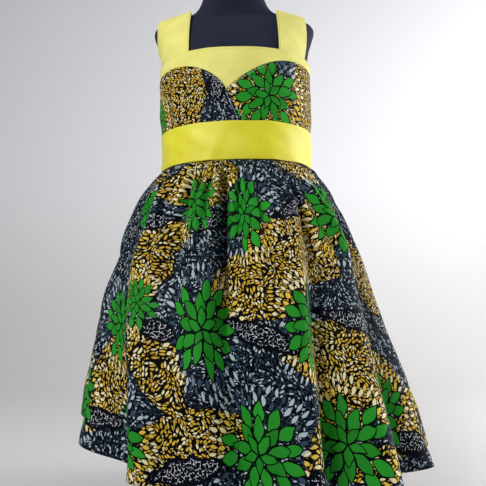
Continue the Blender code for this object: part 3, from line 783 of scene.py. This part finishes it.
def gathered_cloth(down):
    """Cloth taken up sideways by the fine gathers, at this distance below the band."""
    return 1.05 + 0.65 * (1 - eased(down / 0.30))


def give_wall(panel, soft_edges=True):
    """Thickens a piece outwards to the cloth's wall, and takes the sharpness off its edges."""
    wall = panel.modifiers.new("Wall", "SOLIDIFY")
    wall.thickness, wall.offset = WALL, 1.0
    if soft_edges:
        soft = panel.modifiers.new("Soft edge", "BEVEL")
        soft.width, soft.segments, soft.limit_method = 0.0004, 2, "ANGLE"


def skirt_panel(name, start, end, solid, middle, shift):
    """A panel between two folds, its cut laid flat about the fold in its middle."""
    share = np.linspace(1.0, 0.0, SKIRT_ROWS + 1)[:, None] ** WAIST_CROWDING
    position = np.linspace(start, end, COLUMNS_PER_FOLD * (end - start) + 1)[None, :]
    position, share = np.broadcast_arrays(position, share)
    points, along = skirt_points(position, share)
    for column, fold, way in ((0, start, 1), (-1, end, -1)):
        by_zip = (fold in (0, len(FOLDS) - 1)) & (share[:, column] <= ZIP_SHARE)
        back = np.where(by_zip, ZIP_HALF_WIDTH + SEAM, SEAM / 2)
        points[:, column] += along[:, column] * (back * way)[:, None]
    outer = CUT_TOP + CUT_LENGTH
    swing = (np.interp(position, fine, hem_run) - np.interp(middle, fine, hem_run)) / outer
    radius = CUT_TOP + CUT_LENGTH * share
    flat = np.stack([radius * np.sin(swing), CUT_TOP - radius * np.cos(swing)], axis=-1)
    mesh = grid_mesh(name, points, flat)
    chart_print(mesh, SKIRT_CHART, shift)
    resize_seeds(mesh, gathered_cloth, 1.0)
    panel = add_piece(name, mesh, wax_print, "wax_print", solid)
    give_wall(panel, soft_edges=False)


left_seam, right_seam, last = fold_near(-91), fold_near(91), len(FOLDS) - 1
for name, start, end, middle, shift in (
    ("front", left_seam, right_seam, CENTRE_FRONT, (0.0, 0.0)),
    ("back_left", 0, left_seam, left_seam / 2, (-38.0, 3.0)),
    ("back_right", right_seam, last, (right_seam + last) / 2, (38.0, -2.0)),
):
    skirt_panel(f"skirt_{name}_panel", start, end, f"skirt_{name}", middle, shift)

# ---------------------------------------------------------------- bodice
# Two printed cups meet at a slanted seam under the yoke's point, and two printed backs meet at
# the zip. All four are single cloth pulled smooth over the form and sewn into the waistband.

EASE = 0.0016
BAND_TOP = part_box("waistband_front")[1][2]
BODICE_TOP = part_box("back_bodice_left")[1][2]
SIDE_SEAM, CENTRE_BACK = 91.0, 180.0
POINT_X, POINT_HEIGHT, SEAM_FOOT_X = -0.0110, BAND_TOP + 0.041, 0.0065
CUP_FULLNESS, CUP_ANGLE, CUP_HEIGHT = 0.0030, 36.0, BAND_TOP + 0.045
CUP_SPREAD, CUP_RISE, UNEVENNESS = 30.0, 0.032, 0.00035
ARMHOLE_HALF, ARMHOLE_DIP = 24.0, 0.008
CUP_SEEDS, PANEL_ROWS = 1.18, 40
Arc = namedtuple("Arc", "span rise fullness")
LEFT_ARC, RIGHT_ARC = Arc(0.080, 0.040, 0.70), Arc(0.105, 0.046, 1.0)


def on_bodice(angle, z, proud=0.0):
    """The inner face of the bodice, eased off the form and full at the cups, with the slight
    unevenness of sewn cloth."""
    sideways, upwards = (np.abs(angle) - CUP_ANGLE) / CUP_SPREAD, (z - CUP_HEIGHT) / CUP_RISE
    full = CUP_FULLNESS * np.exp(-(sideways**2) - upwards**2)
    uneven = UNEVENNESS * (1 + np.sin(np.radians(angle) * 11 + z * 90))
    uneven = uneven * (1 + np.sin(z * 160 + angle * 0.05))
    by_zip = np.clip((CENTRE_BACK - np.abs(angle)) / 14.0, 0.0, 1.0)
    return on_form(angle, z, EASE + proud + full + uneven * by_zip)


TABLE_COUNT = 705
front_angles = np.linspace(-88.0, 88.0, TABLE_COUNT)
round_angles = front_angles * 180 / 88


def angle_at_x(x, z):
    return float(np.interp(x, on_bodice(front_angles, np.full(TABLE_COUNT, z))[:, 0], front_angles))


def sweetheart(angle):
    """Height of the seam between the cups and the yoke."""
    x = on_bodice(angle, np.full(np.shape(angle), POINT_HEIGHT))[..., 0] - POINT_X
    span, rise, fullness = (np.where(x > 0, *pair) for pair in zip(RIGHT_ARC, LEFT_ARC))
    left_over = 1 - np.minimum(np.abs(x) / span, 1.0)
    return POINT_HEIGHT + rise * (1 - left_over**2) ** fullness


def bodice_top(angle):
    away = np.minimum(np.abs(np.abs(angle) - 90.0) / ARMHOLE_HALF, 1.0)
    return BODICE_TOP - ARMHOLE_DIP * 0.5 * (1 + np.cos(math.pi * away))


def bodice_panel(name, solid, angle, low, high, finish, slot, rows, proud=0.0, chart=None):
    """A panel between two heights. angle is one row of angles, or a row for each height."""
    up = np.linspace(0.0, 1.0, rows + 1)[:, None]
    angle = np.broadcast_to(angle, (rows + 1, np.shape(angle)[-1]))
    z = np.broadcast_to(low + (high - low) * up, angle.shape)
    level = on_bodice(round_angles, np.full(TABLE_COUNT, (BAND_TOP + BODICE_TOP) / 2))
    run = run_along(level)
    run -= np.interp(0.0, round_angles, run)
    flat = np.stack([np.interp(angle, round_angles, run), z - BAND_TOP], axis=-1)
    mesh = grid_mesh(name, on_bodice(angle, z, proud), flat)
    if chart is not None:
        chart_print(mesh, *chart)
        resize_seeds(mesh, CUP_SEEDS, CUP_SEEDS)
    panel = add_piece(name, mesh, finish, slot, solid)
    give_wall(panel)


LEFT_CUP_CHART = Chart(
    rosettes=[Rosette(-13.5, -1.5, 3.6, 0.3, 0.8)],
    gold=[Patch(-10.5, -4.0, 7.0, 12.0, 0), Patch(-18.0, -4.0, 7.0, 12.0, 0)],
    islands=[Patch(-2.3, -4.6, 2.4, 1.4, 80)],
)
RIGHT_CUP_CHART = Chart(
    rosettes=[Rosette(4.4, -3.4, 4.6, 0.55, 0.88), Rosette(0.2, 1.4, 2.6, 0.2, 0.8)],
    gold=[Patch(*row, tilt=0) for row in (
        (2.0, -3.5, 4.0, 12.0), (4.0, 0.0, 4.0, 3.0), (9.5, -1.5, 6.0, 5.0),
        (11.5, -4.5, 3.5, 10.0), (17.0, -4.0, 4.0, 9.0),
    )],
    islands=[],
)
BACK_RADIUS = 0.083
INSET, CUP_GAP, ZIP_GAP = 0.11, 0.14, math.degrees((ZIP_HALF_WIDTH + SEAM) / BACK_RADIUS)
LEFT_END, RIGHT_END = INSET - SIDE_SEAM, SIDE_SEAM - INSET
point_angle = angle_at_x(POINT_X, POINT_HEIGHT)
foot_angle = angle_at_x(SEAM_FOOT_X, BAND_TOP)
inner = foot_angle + (point_angle - foot_angle) * np.linspace(0.0, 1.0, PANEL_ROWS + 1)[:, None]
share = np.linspace(0.0, 1.0, 91)[None, :]
left_cup = LEFT_END + (inner - CUP_GAP - LEFT_END) * share
right_cup = (inner + CUP_GAP) + (RIGHT_END - (inner + CUP_GAP)) * share
left_back = np.linspace(-CENTRE_BACK + ZIP_GAP, -SIDE_SEAM - INSET, 71)[None, :]
right_back = np.linspace(SIDE_SEAM + INSET, CENTRE_BACK - ZIP_GAP, 71)[None, :]
for name, solid, angles, top, chart in (
    ("cup_left", "cup_left", left_cup, sweetheart(left_cup) - SEAM / 2, (LEFT_CUP_CHART,)),
    ("cup_right", "cup_right", right_cup, sweetheart(right_cup) - SEAM / 2, (RIGHT_CUP_CHART,)),
    ("back_left", "back_bodice_left", left_back, bodice_top(left_back), (SKIRT_CHART, (-22.0, 26.0))),
    ("back_right", "back_bodice_right", right_back, bodice_top(right_back), (SKIRT_CHART, (22.0, 26.0))),
):
    bodice_panel(
        f"{name}_panel", solid, angles, BAND_TOP + SEAM / 2, top, wax_print, "wax_print", PANEL_ROWS,
        chart=chart,
    )

# ---------------------------------------------------------------- yellow cotton
# Yoke, straps and waistband are plain dyed poplin. The yoke and straps are given a paler, less
# saturated yellow than the waistband, whose poplin is also glossier.


def poplin(name, colour, deep, roughness):
    made, tree, shader = shader_of(name, colour, roughness)
    place = uv_of(tree, "cloth")
    math_here, step_here, blend_here = arithmetic(tree)
    cloudy = math_here("MULTIPLY", noise(tree, place, 28.0, 4.0, "2D"), 0.5)
    grain = math_here("MULTIPLY", noise(tree, place, 1500.0, 2.0, "2D"), 0.5)
    share = math_here("ADD", cloudy, grain)
    tree.links.new(blend_here(step_here(share, 0.36, 0.64), deep, colour), shader.inputs["Base Color"])
    weave(tree, shader, place, 0.3)
    shader.inputs["Sheen Weight"].default_value = 0.1
    return made


pale_yellow = poplin("pale_yellow_poplin", (0.78, 0.74, 0.20), (0.68, 0.64, 0.14), 0.66)
bright_yellow = poplin("bright_yellow_poplin", (0.77, 0.73, 0.020), (0.69, 0.62, 0.010), 0.42)

yoke = np.linspace(LEFT_END, RIGHT_END, 181)[None, :]
bodice_panel(
    "yoke_panel", "yoke_front", yoke, sweetheart(yoke) + SEAM / 2, bodice_top(yoke) - SEAM / 2,
    pale_yellow, "yellow_cotton", 24,
)

# The front band bulges beside a soft dent under the right cup, and slumps a little at its foot.
BAND_PROUD, BAND_BULGE, BAND_ROWS = 0.0006, 0.0024, 20
for name, solid, first, final, count in (
    ("waist_band", "waistband_front", LEFT_END, RIGHT_END, 161),
    ("waist_band_back_left", "waistband_back_left", ZIP_GAP - CENTRE_BACK, -SIDE_SEAM - INSET, 81),
    ("waist_band_back_right", "waistband_back_right", SIDE_SEAM + INSET, CENTRE_BACK - ZIP_GAP, 81),
):
    angles = np.linspace(first, final, count)[None, :]
    rise = np.linspace(0.0, 1.0, BAND_ROWS + 1)[:, None]
    from_crest = angles - (29.0 - 6.0 * rise)
    crest = np.exp(-((from_crest / np.where(from_crest < 0, 3.0, 9.0)) ** 2)) * (1 - 0.75 * rise)
    slump = np.exp(-(((angles + 22.0 - 14.0 * rise) / 5.0) ** 2)) * (1 - rise)
    bodice_panel(
        name, solid, angles, WAIST, BAND_TOP, bright_yellow, "yellow_cotton", BAND_ROWS,
        proud=BAND_PROUD + BAND_BULGE * (crest + 0.45 * slump),
    )

# Straps: doubled strips over the shoulders, from the yoke to the backs, stitched down both edges.
STRAP_INNER_X, STRAP_OUTER_X = 0.0585, {-1: 0.0970, 1: 0.0938}
STRAP_SPREAD = {-1: 0.0075, 1: 0.0048}
STRAP_ROWS, STRAP_COLUMNS, RAY_LENGTH, SHOULDER_EASE = 80, 20, 0.3, 1.6
STITCH_PITCH, STITCH_LENGTH, THREAD_RADIUS = 0.0032, 0.0023, 0.00022


def outer_face(points):
    """The outer side of a cloth whose inner side has these points."""
    normal = np.cross(np.gradient(points, axis=1), np.gradient(points, axis=0))
    return points + normal / np.linalg.norm(normal, axis=-1, keepdims=True) * WALL


def thread(name, colour, roughness):
    made, tree, shader = shader_of(name, colour, roughness)
    bump(tree, shader, noise(tree, object_place(tree), 2500.0, 2.0), 0.4, 0.0001)
    return made


def add_stitches(name, runs, finish, slot):
    """Rows of machine stitches, each a short rounded length of thread half sunk in the cloth."""
    corners, faces = [], []
    around = np.radians(np.arange(0, 360, 60))[:, None]
    for run in runs:
        far = run_along(run)
        for start in np.arange(STITCH_PITCH / 2, far[-1] - STITCH_PITCH, STITCH_PITCH):
            places = [start, start + STITCH_LENGTH]
            a, b = np.stack([np.interp(places, far, run[:, k]) for k in range(3)], axis=-1)
            way = (b - a) / np.linalg.norm(b - a)
            one = np.cross(way, (0.31, 0.52, 0.79))
            one /= np.linalg.norm(one)
            two = np.cross(way, one)
            first = len(corners)
            for share, size in ((0.0, 0.35), (0.15, 1.0), (0.85, 1.0), (1.0, 0.35)):
                reach = THREAD_RADIUS * size * (np.cos(around) * one + np.sin(around) * two)
                corners += list(a + (b - a) * share + reach)
            for low in (first, first + 6, first + 12):
                for k in range(6):
                    j = (k + 1) % 6
                    faces.append((low + k, low + j, low + 6 + j, low + 6 + k))
            faces.append(tuple(first + k for k in reversed(range(6))))
            faces.append(tuple(first + 18 + k for k in range(6)))
    mesh = bpy.data.meshes.new(name)
    mesh.from_pydata([tuple(map(float, corner)) for corner in corners], [], faces)
    mesh.shade_smooth()
    add_piece(name, mesh, finish, slot)


strap_runs = []
bpy.context.view_layer.update()
for side, name in ((-1, "left"), (1, "right")):
    points = np.zeros((STRAP_ROWS + 1, STRAP_COLUMNS + 1, 3))
    for r, c in np.ndindex(*points.shape[:2]):
        turned = math.pi * r / STRAP_ROWS
        over = math.sin(turned)
        beam = Vector((0.0, -math.cos(turned), over))
        part = c / STRAP_COLUMNS if side > 0 else 1 - c / STRAP_COLUMNS
        outer_x = STRAP_OUTER_X[side] + STRAP_SPREAD[side] * over
        reach_x = STRAP_INNER_X + (outer_x - STRAP_INNER_X) * part
        pivot = Vector((side * reach_x, 0.0, BODICE_TOP + SEAM / 2))
        hit, normal = torso.ray_cast(pivot + beam * RAY_LENGTH, -beam)[1:3]
        level = Vector((normal.x, normal.y, normal.z * over)).normalized()
        points[r, c] = hit + level * EASE * (1 + SHOULDER_EASE * over)
    across = np.linalg.norm(points - points[:, :1], axis=-1)
    down = run_along(points[:, STRAP_COLUMNS // 2])
    flat = np.stack([across, np.broadcast_to(down[:, None], across.shape)], axis=-1)
    title = f"strap_{name}_strip"
    strap = add_piece(
        title, grid_mesh(title, points, flat), pale_yellow, "yellow_cotton", f"strap_{name}"
    )
    give_wall(strap)
    face = outer_face(points)
    strap_runs += [face[:, 1], face[:, STRAP_COLUMNS - 1]]
for low, high, count, inset in (
    (-84.0, -38.0, 60, 0.0028), (38.0, 84.0, 60, 0.0028), (-33.0, 33.0, 70, 0.0030)
):
    angles = np.linspace(low, high, count)
    strap_runs.append(on_bodice(angles, bodice_top(angles) - inset, WALL))
add_stitches(
    "strap_stitches", strap_runs, thread("ochre_thread", (0.34, 0.29, 0.05), 0.6), "yellow_cotton"
)

# White topstitching holds the print down along the cups' seam and the sweetheart seam.
seam_share = np.linspace(0.02, 0.98, 40)
middle_angles = foot_angle + (point_angle - foot_angle) * seam_share - 1.3
middle_heights = BAND_TOP + (sweetheart(np.array([point_angle]))[0] - BAND_TOP) * seam_share
white_runs = [on_bodice(middle_angles, middle_heights, WALL)]
for low, high, inset in ((-24.0, point_angle - 1.2, 0.0022), (point_angle + 1.6, 26.0, 0.0026)):
    angles = np.linspace(low, high, 30)
    white_runs.append(on_bodice(angles, sweetheart(angles) - inset, WALL))
add_stitches(
    "sweetheart_stitches", white_runs, thread("white_thread", (0.78, 0.78, 0.74), 0.55), "wax_print"
)

# ---------------------------------------------------------------- zip
# A centre-back zip: black woven tape with a nylon coil, and a small plated slider whose tab
# hangs from the slider's lug.

zip_tape, tape_tree, tape_shader = shader_of("black_zip_tape", (0.012, 0.012, 0.012), 0.55)
coils = node(
    tape_tree, "ShaderNodeTexWave", {"bands_direction": "Z"}, Vector=object_place(tape_tree), Scale=260.0
)
bump(tape_tree, tape_shader, coils.outputs["Fac"], 0.8, 0.0004)
zip_metal, metal_tree, metal_shader = shader_of("dark_plated_metal", (0.30, 0.28, 0.25), 0.3, 1.0)
worn = spread(metal_tree, noise(metal_tree, object_place(metal_tree), 300.0, 4.0), 0.3, 0.7, 0.2, 0.45)
metal_tree.links.new(worn, metal_shader.inputs["Roughness"])
TOOTH_PITCH, TOOTH_SIZE, TOOTH_DEPTH, TOOTH_OVERLAP = 0.0013, (0.0011, 0.0006, 0.0007), 0.9, 0.8
TEETH_FOOT, TEETH_TOP = WAIST - ZIP_SHARE * SKIRT_DROP + 0.002, BODICE_TOP - 0.0045
teeth, tooth_faces = [], []
sides = [(0, 3, 2, 1), (4, 5, 6, 7), (0, 1, 5, 4), (1, 2, 6, 5), (2, 3, 7, 6), (3, 0, 4, 7)]
for count, z in enumerate(np.arange(TEETH_FOOT, TEETH_TOP, TOOTH_PITCH / 2)):
    if z >= WAIST:
        inner_face = on_bodice(np.array([CENTRE_BACK]), np.array([z]))[0]
    else:
        inner_face = skirt_points(np.array([float(last)]), np.array([(WAIST - z) / SKIRT_DROP]))[0][0]
    y = float(inner_face[1]) + WALL * TOOTH_DEPTH
    x = (0.5 if count % 2 else -0.5) * TOOTH_SIZE[0] * TOOTH_OVERLAP
    first = len(teeth)
    for up in (-0.5, 0.5):
        for dx, dy in ((-0.5, 0.0), (0.5, 0.0), (0.5, 1.0), (-0.5, 1.0)):
            teeth.append((x + dx * TOOTH_SIZE[0], y + dy * TOOTH_SIZE[1], z + up * TOOTH_SIZE[2]))
    tooth_faces += [tuple(first + k for k in side) for side in sides]
coil = bpy.data.meshes.new("zip_teeth")
coil.from_pydata(teeth, [], tooth_faces)
add_piece("zip_teeth", coil, zip_tape, "zip_tape")

for name, finish in (("zip_chain", zip_tape), ("zip_slider", zip_metal), ("zip_pull", zip_metal)):
    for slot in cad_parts[name].material_slots:
        slot.material = finish

# ---------------------------------------------------------------- room
# A plain pale floor that curves up into a plain pale wall, with painted shade making it darker low
# down, and soft studio light, stronger from the right.
room, room_tree, room_shader = shader_of("pale_room", (0.78, 0.77, 0.78), 0.9)
room_step, room_blend = arithmetic(room_tree)[1:]
height = node(room_tree, "ShaderNodeSeparateXYZ", None, Vector=object_place(room_tree)).outputs["Z"]
# Painted shade: the backdrop's colour darkens from 0.9 m down to the floor, standing in for the light
# falling off downwards.
room_colour_painted_shade = room_blend(room_step(height, 0.0, 0.9), (0.68, 0.67, 0.66), (0.86, 0.86, 0.89))
room_tree.links.new(room_colour_painted_shade, room_shader.inputs["Base Color"])
NEAR, FAR, HALF_WIDTH, TALL, BEND = -6.0, 1.5, 7.0, 3.0, 0.6
profile = [(NEAR, 0.0), (FAR - BEND, 0.0)]
profile += [
    (FAR - BEND + BEND * math.sin(a), BEND - BEND * math.cos(a)) for a in np.radians(range(5, 91, 5))
]
profile.append((FAR, TALL))
room_points = np.array([[(x, y, z) for x in (-HALF_WIDTH, HALF_WIDTH)] for y, z in profile])
backdrop = in_scene("backdrop", grid_mesh("backdrop", room_points))
backdrop.data.materials.append(room)

Lamp = namedtuple("Lamp", "name place aim size power")
for lamp in (
    Lamp("front_light", (-0.70, -0.95, 1.25), (0.0, 0.0, 0.64), 0.5, 14.5),
    Lamp("window_light", (1.5, 0.10, 0.55), (0.0, 0.0, 0.38), 0.5, 17.0),
    Lamp("wall_light", (1.9, 0.5, 1.3), (0.8, 1.5, 0.8), 1.2, 20.0),
):
    light = bpy.data.lights.new(lamp.name, "AREA")
    light.shape, light.size, light.energy = "SQUARE", lamp.size, lamp.power
    holder = in_scene(lamp.name, light)
    aim = Vector(lamp.aim) - Vector(lamp.place)
    turned = aim.to_track_quat("-Z", "Y").to_matrix().to_4x4()
    holder.matrix_world = Matrix.Translation(lamp.place) @ turned
world = bpy.data.worlds.new("soft_daylight")
world.use_nodes = True
world.node_tree.nodes["Background"].inputs["Color"].default_value = (0.96, 0.96, 1.0, 1.0)
world.node_tree.nodes["Background"].inputs["Strength"].default_value = 0.30
bpy.context.scene.world = world
bpy.context.scene.view_settings.view_transform = "Standard"

CAMERA_PLACE, CAMERA_LIFT, CAMERA_ROLL = (0.0065, -0.72, 0.302), 5.36, -1.2
camera_data = bpy.data.cameras.new("camera")
camera_data.sensor_width, camera_data.lens = 36.0, 38.3
camera = in_scene("camera", camera_data)
camera.matrix_world = (
    Matrix.Translation(CAMERA_PLACE)
    @ Matrix.Rotation(math.radians(90 + CAMERA_LIFT), 4, "X")
    @ Matrix.Rotation(math.radians(CAMERA_ROLL), 4, "Z")
)
bpy.context.scene.camera = camera
